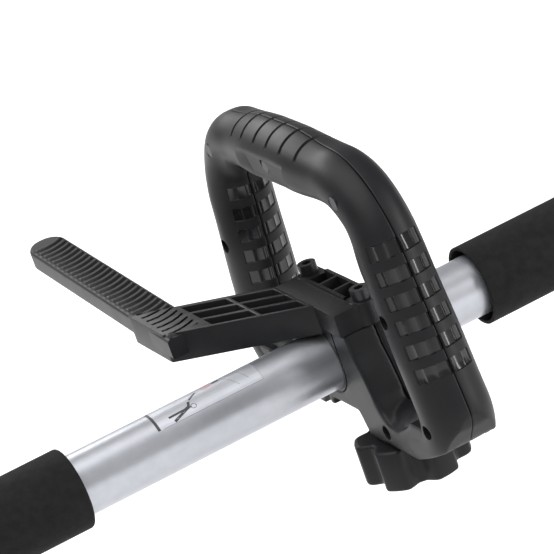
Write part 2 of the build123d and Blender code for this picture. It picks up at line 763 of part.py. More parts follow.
def head_screws():
    screws = []
    for x, z in head_screw_places:
        screws.append(rod_y(SHELL_SCREW_R, x, z, -6, 7) + rod_y(SHELL_SCREW_HEAD, x, z, -8, -6))
    return Part() + screws


can_top = 72.0
windings_top = 66.0


def motor_can():
    body = rod_z(CAN_R, MOTOR_FLOOR, can_top) - rod_z(CAN_R - CAN_WALL, MOTOR_FLOOR + 3, can_top + 1)
    return body - rod_z(SPINDLE_R + 3, MOTOR_FLOOR - 1, MOTOR_FLOOR + 4)


def motor_end_cap():
    body = rod_z(CAN_R, can_top, can_top + 3) + rod_z(BEARING_R + 3, can_top, can_top + BEARING_WIDTH + 1)
    body -= rod_z(BEARING_R, can_top - 1, can_top + BEARING_WIDTH)
    return body - rod_z(SPINDLE_R + 2, can_top, can_top + BEARING_WIDTH + 2)


def bearing(z0):
    return ring_z(BEARING_R, SPINDLE_R + 0.02, z0, z0 + BEARING_WIDTH)


def stator():
    outer = CAN_R - CAN_WALL - 0.05
    inner = ROTOR_R + STATOR_GAP
    body = ring_z(outer, inner, 34, 60)
    for slot in range(12):
        body -= Rot(0, 0, 30 * slot) * block(inner + 3, outer - 4, -2.6, 2.6, 33, 61)
    return body


def windings():
    outer = CAN_R - CAN_WALL - 0.05
    coils = []
    for slot in range(12):
        coil = block(ROTOR_R + STATOR_GAP + 3.3, outer - 4.3, -2.3, 2.3, 30, windings_top - 2)
        coils.append(Rot(0, 0, 30 * slot) * coil)
    return Part() + coils


def rotor():
    return ring_z(ROTOR_R, SPINDLE_R + 0.02, 33, 61)


def spindle():
    return rod_z(SPINDLE_R, -38, can_top + BEARING_WIDTH)


def drive_hub():
    body = ring_z(HUB_R, SPINDLE_R + 0.02, SPOOL_TOP, 2) + ring_z(9, SPINDLE_R + 0.02, 2, 7.5)
    return body


# ---- Cutting head ----

def spool_housing():
    body = rod_z(SPOOL_R, SPOOL_BOTTOM, SPOOL_TOP)
    body -= rod_z(SPOOL_R - SPOOL_WALL, SPOOL_BOTTOM - 1, SPOOL_TOP - HOUSING_FLOOR)
    body -= rod_z(SPINDLE_R + 0.02, SPOOL_BOTTOM, SPOOL_TOP + 1)
    body -= rod_x(3.6, -SPOOL_R - 1, SPOOL_R + 1, 0, LINE_Z)
    for rib in range(12):
        angle = radians(30 * rib + 15)
        x = (SPOOL_R + 2.2) * cos(angle)
        y = (SPOOL_R + 2.2) * sin(angle)
        body -= rod_z(4, SPOOL_BOTTOM - 1, SPOOL_TOP - 6, x, y)
    return body


def line_eyelets():
    eyelets = []
    for side in (-1, 1):
        x = sorted((side * (SPOOL_R - SPOOL_WALL - 1), side * (SPOOL_R + 1.5)))
        flange = sorted((side * SPOOL_R, side * (SPOOL_R + 1.5)))
        eyelet = rod_x(3.5, x[0], x[1], 0, LINE_Z) + rod_x(5, flange[0], flange[1], 0, LINE_Z)
        eyelets.append(eyelet - rod_x(LINE_R + 0.1, -60, 60, 0, LINE_Z))
    return Part() + eyelets


def cutting_line():
    return rod_x(LINE_R, 42, LINE_REACH, 0, LINE_Z) + rod_x(LINE_R, -LINE_REACH, -42, 0, LINE_Z)


def spool_cover():
    body = ring_z(SPOOL_R, BUMP_R + PART_GAP, SPOOL_BOTTOM - 4, SPOOL_BOTTOM)
    for side in (-1, 1):
        y0, y1 = sorted((side * (SPOOL_R - 0.4), side * (SPOOL_R + 1.6)))
        body += block(-7, 7, y0, y1, SPOOL_BOTTOM - 4, SPOOL_BOTTOM + 5) - rod_z(SPOOL_R + 0.1, -38, 0)
    return body


def spool():
    low = REEL_BOTTOM + REEL_FLANGE
    body = rod_z(REEL_CORE_R, low, reel_top)
    body += rod_z(REEL_R, REEL_BOTTOM, low) + rod_z(REEL_R, reel_top - REEL_FLANGE, reel_top)
    body -= rod_z(REEL_CORE_R - 3, low + 2, reel_top + 1)
    return body - rod_z(SPINDLE_R + PART_GAP, REEL_BOTTOM - 1, reel_top + 1)


def wound_line():
    return ring_z(WOUND_R, REEL_CORE_R + 0.02, REEL_BOTTOM + REEL_FLANGE + 0.1, reel_top - REEL_FLANGE - 0.1)


def bump_knob():
    body = rod_z(BUMP_R, -53, -36.5) + rod_z(20, -37, -35.1)
    body = fillet(body.edges().group_by(Axis.Z)[0], 6)
    return body - rod_z(SPINDLE_R + PART_GAP, -46, -30)


def bump_spring():
    return Pos(0, 0, -30.1) * coil_spring(8.6, 0.7, 21.3, 5)


# ---- Guard ----

def sector(r, z0, z1):
    start = radians(GUARD_FROM)
    end = radians(GUARD_TO)
    middle = (start + end) / 2
    arc = ThreePointArc(
        (r * cos(start), r * sin(start)), (r * cos(middle), r * sin(middle)), (r * cos(end), r * sin(end))
    )
    edges = [Line((0, 0), arc @ 0), arc, Line(arc @ 1, (0, 0))]
    return Pos(0, 0, z0) * extrude(make_face(edges), z1 - z0)


def guard():
    plate_bottom = MOTOR_BASE - GUARD_PLATE
    body = sector(GUARD_R, plate_bottom, MOTOR_BASE) + rod_z(MOTOR_R, plate_bottom, MOTOR_BASE)
    body += sector(GUARD_R, SKIRT_BOTTOM, MOTOR_BASE) - rod_z(GUARD_R - GUARD_SKIRT, -100, 100)
    body -= rod_z(HUB_R + 4, -10, 20)
    for angle in guard_screw_angles:
        body -= guard_screw_hole(angle)
    inner = GUARD_R - GUARD_SKIRT
    boss = block(inner - 2, inner + 1, -6, 6, -36, -8)
    body += at_blade(boss) & rod_z(inner + 1, -40, 0)
    return body - blade_screw_holes()


blade_screw_zs = (-14.0, -30.0)


def at_blade(shape):
    return Rot(0, 0, GUARD_FROM + 4) * shape


def blade_screw_holes():
    return at_blade(Part() + [rod_x(2.2, GUARD_R - 12, GUARD_R + 5, 0, z) for z in blade_screw_zs])


def line_cutter():
    inner = GUARD_R - GUARD_SKIRT
    foot = block(inner - 3.5, inner - 2, -6, 6, -36, -8)
    blade = block(LINE_REACH + 1.5, inner - 2, -6, -4.8, -36, -8)
    return at_blade(foot + blade) - blade_screw_holes()


def blade_screws():
    inner = GUARD_R - GUARD_SKIRT
    screws = []
    for z in blade_screw_zs:
        screw = rod_x(2, inner - 3.5, GUARD_R + 0.4, 0, z) + rod_x(3.6, inner - 6, inner - 3.5, 0, z)
        screws.append(at_blade(screw))
    return Part() + screws


def guard_screws():
    screws = []
    for angle in guard_screw_angles:
        x = guard_screw_circle * cos(radians(angle))
        y = guard_screw_circle * sin(radians(angle))
        z = MOTOR_BASE - GUARD_PLATE
        screws.append(rod_z(SHELL_SCREW_R, z, MOTOR_BASE + 10, x, y) + rod_z(3.6, z - 2.4, z, x, y))
    return Part() + screws


# ---- Write every piece ----

loop = loop_body()
housing = housing_body()
head = head_body()

save("upper_tube", upper_tube())
save("lower_tube", lower_tube())
save("joint_spigot", joint_spigot())
save("joint_sleeve", joint_sleeve())
save("joint_screws", joint_screws())
save("lock_pin", lock_pin())
save("lock_pin_spring", lock_pin_spring())
save("shaft_sleeve", shaft_sleeve())
save("upper_power_lead", lead(BOX_REAR + DOCK_DEPTH + LEAD_FROM_DOCK, tube_joint_x - LEAD_LINK))
save("lower_power_lead", lead(tube_joint_x + LEAD_LINK, HEAD_X - LEAD_STOP))
save("lead_connector", lead_connector())
save("eyelet_bracket", eyelet_bracket())
save("eyelet_screw", eyelet_screw())

save("loop_rear_shell", loop_half_shell(loop, -1))
save("loop_front_shell", loop_half_shell(loop, 1))
save("loop_shell_screws", shell_screws())
save("clamp_liner", clamp_liner())
save("barrier_bar", barrier_bar())
save("clamp_bolts", clamp_bolts())
save("clamp_nut", clamp_nut())
save("knob_washer", knob_washer())
save("star_knob", star_knob())
save("knob_insert", knob_insert())

save("handle_shell_left", half_y(housing, 1))
save("handle_shell_right", half_y(housing, -1))
save("casing_screws", housing_screws() + head_screws())
save("trigger", trigger())
save("control_pins", control_pins())
save("trigger_spring", trigger_spring())
save("lock_off_lever", lock_off_lever())
save("lock_off_spring", lock_off_spring())
save("speed_switch", speed_switch())
save("control_board", control_board())
save("terminal_block", terminal_block())
save("battery_case", battery_case())
save("battery_cap", battery_cap())
save("battery_cells", battery_cells())
save("battery_latch", battery_latch())
save("latch_spring", latch_spring())

save("head_shell_left", half_y(head, 1))
save("head_shell_right", half_y(head, -1))
save("motor_can", head_place * motor_can())
save("motor_end_cap", head_place * motor_end_cap())
save("spindle_bearings", head_place * (bearing(can_top) + bearing(MOTOR_BASE + 3)))
save("stator", head_place * stator())
save("windings", head_place * windings())
save("rotor", head_place * rotor())
save("spindle", head_place * spindle())
save("drive_hub", head_place * drive_hub())
save("spool_housing", head_place * spool_housing())
save("line_eyelets", head_place * line_eyelets())
save("cutting_line", head_place * cutting_line())
save("spool_cover", head_place * spool_cover())
save("spool_with_line", head_place * (spool() + wound_line()))
save("bump_knob", head_place * bump_knob())
save("bump_spring", head_place * bump_spring())
save("guard", head_place * guard())
save("guard_screws", head_place * guard_screws())
save("line_cutter", head_place * line_cutter())
save("blade_screws", head_place * blade_screws())
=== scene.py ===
import bpy
import bmesh
import json
import math
import numpy as np
from mathutils import Matrix, Vector


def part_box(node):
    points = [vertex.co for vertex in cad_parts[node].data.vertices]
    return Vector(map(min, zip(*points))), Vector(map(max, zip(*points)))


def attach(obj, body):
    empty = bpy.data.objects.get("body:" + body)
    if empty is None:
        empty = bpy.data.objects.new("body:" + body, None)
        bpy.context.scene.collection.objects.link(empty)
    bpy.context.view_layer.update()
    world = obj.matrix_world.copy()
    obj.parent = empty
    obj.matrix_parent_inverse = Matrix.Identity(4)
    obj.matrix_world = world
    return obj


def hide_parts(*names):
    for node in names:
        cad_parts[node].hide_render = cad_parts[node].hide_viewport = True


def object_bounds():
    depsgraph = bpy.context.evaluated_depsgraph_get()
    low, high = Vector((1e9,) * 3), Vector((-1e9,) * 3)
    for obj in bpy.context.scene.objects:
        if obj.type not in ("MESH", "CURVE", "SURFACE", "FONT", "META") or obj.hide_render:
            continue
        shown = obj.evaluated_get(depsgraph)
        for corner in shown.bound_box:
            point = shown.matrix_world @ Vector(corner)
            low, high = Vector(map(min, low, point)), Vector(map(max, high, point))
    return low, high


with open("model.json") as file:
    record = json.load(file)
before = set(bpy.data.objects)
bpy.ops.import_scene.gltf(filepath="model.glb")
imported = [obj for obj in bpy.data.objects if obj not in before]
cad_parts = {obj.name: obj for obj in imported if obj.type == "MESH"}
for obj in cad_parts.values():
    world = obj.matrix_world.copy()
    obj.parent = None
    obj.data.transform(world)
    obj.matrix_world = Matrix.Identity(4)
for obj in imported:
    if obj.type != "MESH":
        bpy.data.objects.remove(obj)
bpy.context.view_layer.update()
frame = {"nodes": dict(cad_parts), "record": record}

MM = 0.001

# The shaft's axis and the loop handle's mid-plane, read from the frame.
tube_low, tube_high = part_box("upper_tube")
AXIS_Z = (tube_low[2] + tube_high[2]) / 2
TUBE_R = (tube_high[2] - tube_low[2]) / 2 / MM
LOOP_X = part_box("loop_rear_shell")[1][0]


def place(x, y, z):
    """Millimetres from the loop handle's centre on the shaft's axis, as a point of the frame."""
    return (LOOP_X + x * MM, y * MM, AXIS_Z + z * MM)


# ---- Materials ----

def new_material(name):
    material = bpy.data.materials.new(name)
    material.use_nodes = True
    return material, material.node_tree, material.node_tree.nodes["Principled BSDF"]


def noise(tree, size_mm, detail=2.0):
    """Noise whose bumps are about size_mm across, in the frame's own coordinates."""
    coords = tree.nodes.new("ShaderNodeTexCoord")
    texture = tree.nodes.new("ShaderNodeTexNoise")
    texture.inputs["Scale"].default_value = 1 / (size_mm * MM)
    texture.inputs["Detail"].default_value = detail
    tree.links.new(coords.outputs["Object"], texture.inputs["Vector"])
    return texture


def vary(tree, source, low, high, target):
    ramp = tree.nodes.new("ShaderNodeMapRange")
    ramp.inputs["To Min"].default_value = low
    ramp.inputs["To Max"].default_value = high
    tree.links.new(source, ramp.inputs["Value"])
    tree.links.new(ramp.outputs["Result"], target)


def bump(tree, shader, source, strength, depth_mm):
    node = tree.nodes.new("ShaderNodeBump")
    node.inputs["Strength"].default_value = strength
    node.inputs["Distance"].default_value = depth_mm * MM
    tree.links.new(source, node.inputs["Height"])
    tree.links.new(node.outputs["Normal"], shader.inputs["Normal"])


def mottle(tree, shader, color, spread, size_mm):
    """The base colour, a little lighter and darker from place to place."""
    texture = noise(tree, size_mm, 3.0)
    ramp = tree.nodes.new("ShaderNodeValToRGB")
    ramp.color_ramp.elements[0].position = 0.3
    ramp.color_ramp.elements[1].position = 0.7
    ramp.color_ramp.elements[0].color = (*[c * (1 - spread) for c in color], 1)
    ramp.color_ramp.elements[1].color = (*[c * (1 + spread) for c in color], 1)
    tree.links.new(texture.outputs["Fac"], ramp.inputs["Fac"])
    tree.links.new(ramp.outputs["Color"], shader.inputs["Base Color"])


def plastic(name, color, rough, grain_mm=0.45, depth_mm=0.03, strength=0.5, spread=0.12, specular=0.5):
    material, tree, shader = new_material(name)
    shader.inputs["Specular IOR Level"].default_value = specular
    mottle(tree, shader, color, spread, 9)
    grain = noise(tree, grain_mm)
    bump(tree, shader, grain.outputs["Fac"], strength, depth_mm)
    smudge = noise(tree, 14, 4.0)
    vary(tree, smudge.outputs["Fac"], rough - 0.05, rough + 0.07, shader.inputs["Roughness"])
    return material


def metal(name, color, rough, metallic=1.0, grain_mm=0.6, depth_mm=0.004):
    material, tree, shader = new_material(name)
    mottle(tree, shader, color, 0.04, 5)
    shader.inputs["Metallic"].default_value = metallic
    grain = noise(tree, grain_mm, 3.0)
    bump(tree, shader, grain.outputs["Fac"], 0.4, depth_mm)
    vary(tree, grain.outputs["Fac"], rough - 0.05, rough + 0.06, shader.inputs["Roughness"])
    return material


def foam(name, color):
    material, tree, shader = new_material(name)
    shader.inputs["Specular IOR Level"].default_value = 0.15
    mottle(tree, shader, color, 0.25, 4)
    cells = noise(tree, 0.9, 4.0)
    bump(tree, shader, cells.outputs["Fac"], 0.7, 0.12)
    vary(tree, cells.outputs["Fac"], 0.72, 0.92, shader.inputs["Roughness"])
    return material


GRIP = plastic("grip_plastic", (0.0075, 0.0078, 0.0088), 0.42, specular=0.2)
GLOSS = plastic("grip_gloss", (0.006, 0.006, 0.007), 0.16, 1.5, 0.01, 0.2)
SLEEVE = foam("sleeve_foam", (0.009, 0.009, 0.0095))
TUBE = metal("tube_satin", (0.44, 0.45, 0.485), 0.34, 0.85)
BLACK_STEEL = metal("black_steel", (0.035, 0.035, 0.038), 0.38, 0.8)
BRIGHT_STEEL = metal("bright_steel", (0.60, 0.60, 0.61), 0.3)
CASING = plastic("casing_dark", (0.040, 0.041, 0.045), 0.5, 0.5, 0.04)
ACCENT = plastic("accent_grey", (0.20, 0.21, 0.225), 0.45)
ORANGE = plastic("release_orange", (0.62, 0.13, 0.02), 0.4)
GUARD = plastic("guard_plastic", (0.024, 0.024, 0.027), 0.42, 0.7, 0.05)
BRASS = metal("brass_part", (0.62, 0.45, 0.2), 0.3)
COPPER = metal("copper_part", (0.6, 0.26, 0.12), 0.35)
BOARD = plastic("board_green", (0.02, 0.12, 0.05), 0.35, 1.5, 0.02)
CELLS = plastic("cell_wrap", (0.05, 0.18, 0.42), 0.25, 4, 0.02)
NYLON = plastic("line_nylon", (0.68, 0.16, 0.03), 0.3, 1.2, 0.02)
LEAD = plastic("lead_rubber", (0.018, 0.018, 0.018), 0.6)
IRON = metal("laminated_iron", (0.3, 0.31, 0.33), 0.45, 0.9, 0.5, 0.02)

SLOT_MATERIALS = {
    "tube_metal": TUBE,
    "grip_plastic": GRIP,
    "sleeve_foam": SLEEVE,
    "casing_dark": CASING,
    "accent_plastic": ACCENT,
    "guard_plastic": GUARD,
    "bolt_steel": BLACK_STEEL,
    "bright_steel": BRIGHT_STEEL,
    "spring_steel": BRIGHT_STEEL,
    "brass_part": BRASS,
    "copper_part": COPPER,
    "board_green": BOARD,
    "cell_wrap": CELLS,
    "line_nylon": NYLON,
    "lead_rubber": LEAD,
    "laminated_steel": IRON,
    "release_orange": ORANGE,
}


def dress_cad_nodes():
    slots = {row["node"]: row["material_slot"] for row in frame["record"]["subparts"]}
    for node, thing in frame["nodes"].items():
        thing.data.materials.clear()
        thing.data.materials.append(SLOT_MATERIALS[slots[node]])


# ---- Mesh helpers ----

def add_mesh(name, verts, faces, materials, face_materials=None, smooth=True):
    mesh = bpy.data.meshes.new(name)
    mesh.from_pydata([tuple(v) for v in verts], [], [tuple(int(i) for i in f) for f in faces])
    for material in materials:
        mesh.materials.append(material)
    if face_materials is not None:
        mesh.polygons.foreach_set("material_index", np.asarray(face_materials, dtype=np.int32))
    mesh.polygons.foreach_set("use_smooth", [smooth] * len(mesh.polygons))
    mesh.update()
    obj = bpy.data.objects.new(name, mesh)
    bpy.context.collection.objects.link(obj)
    return obj


def turned_outwards(obj):
    """The same closed mesh with every face turned outwards."""
    mesh = bmesh.new()
    mesh.from_mesh(obj.data)
    bmesh.ops.recalc_face_normals(mesh, faces=mesh.faces)
    mesh.to_mesh(obj.data)
    mesh.free()
    return obj


def banded_faces(rows, n):
    """Faces of a closed skin over rows of n vertices, with both ends capped."""
    faces = []
    for k in range(rows - 1):
        for i in range(n):
            j = (i + 1) % n
            faces.append([k * n + i, k * n + j, (k + 1) * n + j, (k + 1) * n + i])
    return faces + [list(range(n))[::-1], list(range((rows - 1) * n, rows * n))]


def apply_modifiers(obj):
    depsgraph = bpy.context.evaluated_depsgraph_get()
    mesh = bpy.data.meshes.new_from_object(obj.evaluated_get(depsgraph))
    old = obj.data
    obj.modifiers.clear()
    obj.data = mesh
    bpy.data.meshes.remove(old)
    return obj


def cut_with(obj, cutters):
    """Subtracts closed meshes from obj, and removes them."""
    for cutter in cutters:
        modifier = obj.modifiers.new("cut", "BOOLEAN")
        modifier.operation = "DIFFERENCE"
        modifier.solver = "EXACT"
        modifier.object = cutter
    apply_modifiers(obj)
    for cutter in cutters:
        bpy.data.objects.remove(cutter, do_unlink=True)
    return obj


def edge_rounding(obj, width_mm, segments=2, angle=35):
    modifier = obj.modifiers.new("edges", "BEVEL")
    modifier.width = width_mm * MM
    modifier.segments = segments
    modifier.limit_method = "ANGLE"
    modifier.angle_limit = math.radians(angle)
    modifier.harden_normals = False
    return apply_modifiers(obj)


def sharp_by_angle(obj, angle=32):
    """Smooth shading that stays crisp across real edges."""
    mesh = bmesh.new()
    mesh.from_mesh(obj.data)
    for edge in mesh.edges:
        if len(edge.link_faces) == 2 and edge.calc_face_angle(0) > math.radians(angle):
            edge.smooth = False
    mesh.to_mesh(obj.data)
    mesh.free()
    return obj


def rod_x(name, radius, y, z, x0, x1, sides=28):
    """A closed cylinder along X, as a cutter or a pin, in millimetres from the loop's centre."""
    verts = []
    for x in (x0, x1):
        for k in range(sides):
            a = 2 * math.pi * k / sides
            verts.append(place(x, y + radius * math.cos(a), z + radius * math.sin(a)))
    return add_mesh(name, verts, banded_faces(2, sides), [GRIP], smooth=False)


def extruded(name, outline, x0, x1, materials):
    """A closed prism along X from an outline of (y, z) points in millimetres."""
    verts = [place(x, y, z) for x in (x0, x1) for y, z in outline]
    obj = add_mesh(name, verts, banded_faces(2, len(outline)), materials, smooth=False)
    return turned_outwards(obj)


# ---- Loop handle ----

LOOP_R = 14.6
LOOP_CORNERS = [(0, 94.0), (12.0, 94.0), (70.6, 90.5), (90.5, -21.0), (27.0, -33.0)]
LOOP_BENDS = [80.0, 29.0, 16.0]


def path_segments(corners, bends):
    """Straight and round stretches of a path through corners: (length, point function, tangent function)."""
    points = [np.array(c, float) for c in corners]
    segments = []
    start = points[0]
    for k, radius in enumerate(bends):
        a, b, c = points[k], points[k + 1], points[k + 2]
        u = (b - a) / np.linalg.norm(b - a)
        v = (c - b) / np.linalg.norm(c - b)
        turn = math.acos(float(np.clip(u @ v, -1, 1)))
        reach = radius * math.tan(turn / 2)
        first, last = b - u * reach, b + v * reach
        side = 1.0 if u[0] * v[1] - u[1] * v[0] > 0 else -1.0
        normal = side * np.array([-u[1], u[0]])
        segments.append(("line", start, u, float(np.linalg.norm(first - start))))
        segments.append(("arc", first + normal * radius, -normal * radius, u * radius, radius * turn, radius))
        start = last
    v = (points[-1] - start) / np.linalg.norm(points[-1] - start)
    segments.append(("line", start, v, float(np.linalg.norm(points[-1] - start))))
    return segments


LOOP_PATH = path_segments(LOOP_CORNERS, LOOP_BENDS)
LOOP_HALF_LENGTH = sum(s[3] if s[0] == "line" else s[4] for s in LOOP_PATH)


def on_loop(s):
    """The loop's centreline at s millimetres from the top's middle, left positive: (y, z), outward (y, z)."""
    side = 1.0 if s >= 0 else -1.0
    left = abs(s)
    for seg in LOOP_PATH:
        length = seg[3] if seg[0] == "line" else seg[4]
        if left <= length or seg is LOOP_PATH[-1]:
            if seg[0] == "line":
                point = seg[1] + seg[2] * left
                tangent = seg[2]
            else:
                angle = left / seg[5]
                point = seg[1] + seg[2] * math.cos(angle) + seg[3] * math.sin(angle)
                tangent = (-seg[2] * math.sin(angle) + seg[3] * math.cos(angle)) / seg[5]
            outward = np.array([-tangent[1], tangent[0]])
            return (side * point[0], point[1]), (side * outward[0], outward[1])
        left -= length


def s_at_height(z):
    """How far along the loop from the top its side passes height z."""
    low, high = 60.0, LOOP_HALF_LENGTH - 60
    for _ in range(40):
        middle = (low + high) / 2
        if on_loop(middle)[0][1] > z:
            low = middle
        else:
            high = middle
    return (low + high) / 2


def groove(distance, half_width, depth):
    """The depth of a rounded groove at some distance from its middle line."""
    share = min(abs(distance) / half_width, 1.0)
    return depth * (1 - share * share) ** 0.5 if share < 1 else 0.0


def smooth_step(value, low, high):
    share = max(0.0, min(1.0, (value - low) / (high - low)))
    return share * share * (3 - 2 * share)


ARMS_END = LOOP_HALF_LENGTH - 33.0      # where the sides' round tube has sunk into the feet


def body_radius(s, degrees=0.0):
    """The tube is slimmer at its top corners, mostly on its near half, and stouter low on its sides."""
    s = abs(s)
    far = smooth_step(degrees, 0, 45) * smooth_step(180 - degrees, 0, 45)
    waist = smooth_step(s, 16, 45) - smooth_step(s, 72, 97)
    stout = smooth_step(s, 100, 140) + 0.5 * smooth_step(s, 150, 175)
    sunk = smooth_step(s, ARMS_END - 9, ARMS_END)
    return LOOP_R - (1.9 - 1.4 * far) * waist + 0.7 * stout - 0.6 * sunk


def front_flattening(s):
    """The far half of the top bar is shallower where the fingers lie."""
    return 1 - 0.17 * (1 - smooth_step(abs(s), 14, 66))


TOP_GROOVES = [-31.5, -18.9, -6.3, 6.3, 18.9, 31.5]
GROOVE_HALF = 1.0
GROOVE_DEPTH = 1.3
GROOVE_REACH = 56        # degrees from the top on each side
POCKET_ROWS = [s_at_height(66.3 - 10.76 * k) for k in range(6)]
ROW_HALF = 3.3
WALL = 0.3               # width of a pocket's wall along the surface
OUTER_FLUTES = [-62, -44, -24, -3.2, None, 3.2, 25, 47]
INNER_FLUTES = [133, 151, 170, 176.8, None, 183.2, 190, 209, 227]
BAND_DEPTH = 0.55
FLUTE_DEPTH = 0.8
INNER_SHARE = 0.45       # the bands inside the loop are shallower
GLOSS_FROM = 0.35        # a band is glossy where it is deeper than this
SEAM_GAP = 0.10          # half of the gap between the two shells


def flute_spans(marks):
    return [(a, b) for a, b in zip(marks, marks[1:]) if a is not None and b is not None]


def band_spans(marks):
    cut = marks.index(None)
    return [(marks[0], marks[cut - 1]), (marks[cut + 1], marks[-1])]


FLUTES = flute_spans(OUTER_FLUTES) + flute_spans(INNER_FLUTES)
BANDS = band_spans(OUTER_FLUTES) + band_spans(INNER_FLUTES)


def pocket_depth(s, degrees):
    """How deep the grip's fluted bands go at s along the loop and an angle round its section."""
    off = min(abs(abs(s) - row) for row in POCKET_ROWS)
    band = next(((a, b) for a, b in BANDS if a <= degrees <= b), None)
    if off > ROW_HALF or band is None:
        return 0.0
    wall = math.degrees(WALL / LOOP_R)
    edge = min(1.0, (degrees - band[0]) / wall, (band[1] - degrees) / wall, (ROW_HALF - off) / WALL)
    a, b = next((a, b) for a, b in FLUTES if a <= degrees <= b)
    middle = (degrees - (a + b) / 2) / ((b - a) / 2)
    share = INNER_SHARE if degrees >= INNER_FLUTES[0] else 1.0
    return share * max(0.0, edge) * (BAND_DEPTH + FLUTE_DEPTH * (1 - middle * middle))


def in_pocket(s, degrees):
    return pocket_depth(s, degrees) > GLOSS_FROM


PANEL_START = -22
PANEL_END = 26
PANEL_LOW = -126         # degrees round the section
PANEL_HIGH = -72
PANEL_SINK = 1.9


def panel_depth(s, degrees):
    """The flat thumb panel on the top bar's near face."""
    degrees = degrees if degrees <= 180 else degrees - 360
    if not PANEL_START <= s <= PANEL_END or not PANEL_LOW <= degrees <= PANEL_HIGH:
        return 0.0
    middle = (PANEL_LOW + PANEL_HIGH) / 2
    ends = min((s - PANEL_START) / 0.8, (PANEL_END - s) / 9.0, 1.0)
    sides = min((degrees - PANEL_LOW) / 4.0, (PANEL_HIGH - degrees) / 9.0, 1.0)
    flat = LOOP_R - (LOOP_R - PANEL_SINK) / max(math.cos(math.radians(degrees - middle)), 0.8)
    return max(0.0, flat) * max(0.0, ends) * max(0.0, sides)


def loop_radius(s, degrees):
    r = body_radius(s, degrees)
    for y in TOP_GROOVES:
        if abs(s - y) < GROOVE_HALF and abs(degrees) < GROOVE_REACH:
            fade = min(1.0, (GROOVE_REACH - abs(degrees)) / 3)
            r -= groove(s - y, GROOVE_HALF, GROOVE_DEPTH) * fade
    r -= pocket_depth(s, degrees)
    r -= panel_depth(s, degrees)
    return r


def sample_lengths(s0, s1):
    """Places along the loop, close together where the surface has detail."""
    marks = set(np.linspace(s0, s1, int((s1 - s0) / 1.6) + 2).round(4))
    for y in TOP_GROOVES:
        across = (-1.15, -1, -0.93, -0.75, -0.4, 0, 0.4, 0.75, 0.93, 1, 1.15)
        marks.update(y + GROOVE_HALF * d for d in across)
    for row in POCKET_ROWS:
        for sign in (-1, 1):
            for edge in (-ROW_HALF, ROW_HALF):
                inward = -math.copysign(WALL, edge)
                marks.update((sign * (row + edge), sign * (row + edge + inward)))
    marks.update((PANEL_START, PANEL_START + 0.8, PANEL_END - 9, PANEL_END))
    return thin_out(sorted(m for m in marks if s0 <= m <= s1))


def thin_out(marks, gap=0.12):
    kept = [marks[0]]
    for m in marks[1:]:
        if m - kept[-1] >= gap:
            kept.append(m)
    return kept


def sample_angles(side):
    """Angles round the section of one shell. side is -1 for the near shell and 1 for the far one."""
    marks = set(np.linspace(0, 180, 61))
    wall = math.degrees(WALL / LOOP_R)
    edges = [a for a0, a1 in BANDS for a in (a0, a0 + wall, a1 - wall, a1)]
    edges += [a for a0, a1 in FLUTES for a in (a0 + 0.01, (a0 + a1) / 2)]
    for a in edges:
        turned = side * a if a <= 180 else side * (a - 360)
        if 0 <= turned <= 180:
            marks.add(turned)
    marks = [m for m in marks if 2.5 <= m <= 177.5]
    return [side * a for a in thin_out(sorted(marks), 0.5)]


UNDERSIDE = [(0, -32.5), (64, -32.5), (93, -22.3), (101.5, -12.3), (106, 0), (140, 80)]
UNDERSIDE_LEFT = [(0, -27.4), (30, -27.4)] + UNDERSIDE[1:]
UNDERSIDE_EDGE = 0.9                # how softly the underside's edge is rounded
LIPS = ((2.6, 0), (0.6, 0), (0.25, 0.12), (0.07, 0.3))     # the seam's lip: (depth, inset)


def settled(y, z, depth=0.0):
    """A height lifted onto the loop's flat underside, with a softened edge; depth counts inwards."""
    line = UNDERSIDE_LEFT if y > 0 else UNDERSIDE
    floor = float(np.interp(abs(y), [p[0] for p in line], [p[1] for p in line])) + 1.1 * depth
    above = z - floor
    if above >= UNDERSIDE_EDGE:
        return z
    return floor + max(0.0, above + UNDERSIDE_EDGE) ** 2 / (4 * UNDERSIDE_EDGE)


def loop_shell(name, side, s0, s1):
    """One half of the loop's tube between s0 and s1, closed at the seam and at both ends."""
    lengths = sample_lengths(s0, s1)
    angles = sample_angles(side)
    verts = []
    rings = []
    for s in lengths:
        (y, z), (ny, nz) = on_loop(s)
        full = body_radius(s)
        squeeze = front_flattening(s) if side > 0 else 1.0
        profile = []
        for a in angles:
            turned = a if a > -90 else a + 360
            r = loop_radius(s, turned)
            profile.append((r * math.cos(math.radians(a)), squeeze * r * math.sin(math.radians(a))))
        notch = full - loop_radius(s, side * 4)
        ring = [(full - notch - depth, side * (SEAM_GAP + inset)) for depth, inset in LIPS]
        ring += profile
        notch = full - loop_radius(s, 176)
        ring += [(notch + depth - full, side * (SEAM_GAP + inset)) for depth, inset in LIPS[::-1]]
        rings.append(ring)
        for i, (r, x) in enumerate(ring):
            depth = LIPS[i][0] if i < len(LIPS) else 0.0
            spot_y = y + ny * r
            spot_z = z + nz * r
            if spot_z < 10 and abs(spot_y) > 40:
                spot_z = settled(spot_y, spot_z, depth)
            verts.append(place(x, spot_y, spot_z))
    n = len(rings[0])
    faces = []
    kinds = []
    for k in range(len(lengths) - 1):
        s = (lengths[k] + lengths[k + 1]) / 2
        for i in range(n):
            j = (i + 1) % n
            quad = [k * n + i, k * n + j, (k + 1) * n + j, (k + 1) * n + i]
            faces.append(quad if side < 0 else quad[::-1])
            gloss = 0
            if len(LIPS) <= i < n - len(LIPS) - 1:
                a = (angles[i - len(LIPS)] + angles[i - len(LIPS) + 1]) / 2
                gloss = int(in_pocket(s, a if a > -90 else a + 360))
            kinds.append(gloss)
    for base, flip in ((0, True), ((len(lengths) - 1) * n, False)):
        cap = list(range(base, base + n))
        faces.append(cap[::-1] if flip == (side < 0) else cap)
        kinds.append(0)
    obj = add_mesh(name, verts, faces, [GRIP, GLOSS], kinds)
    return sharp_by_angle(turned_outwards(obj), 40)


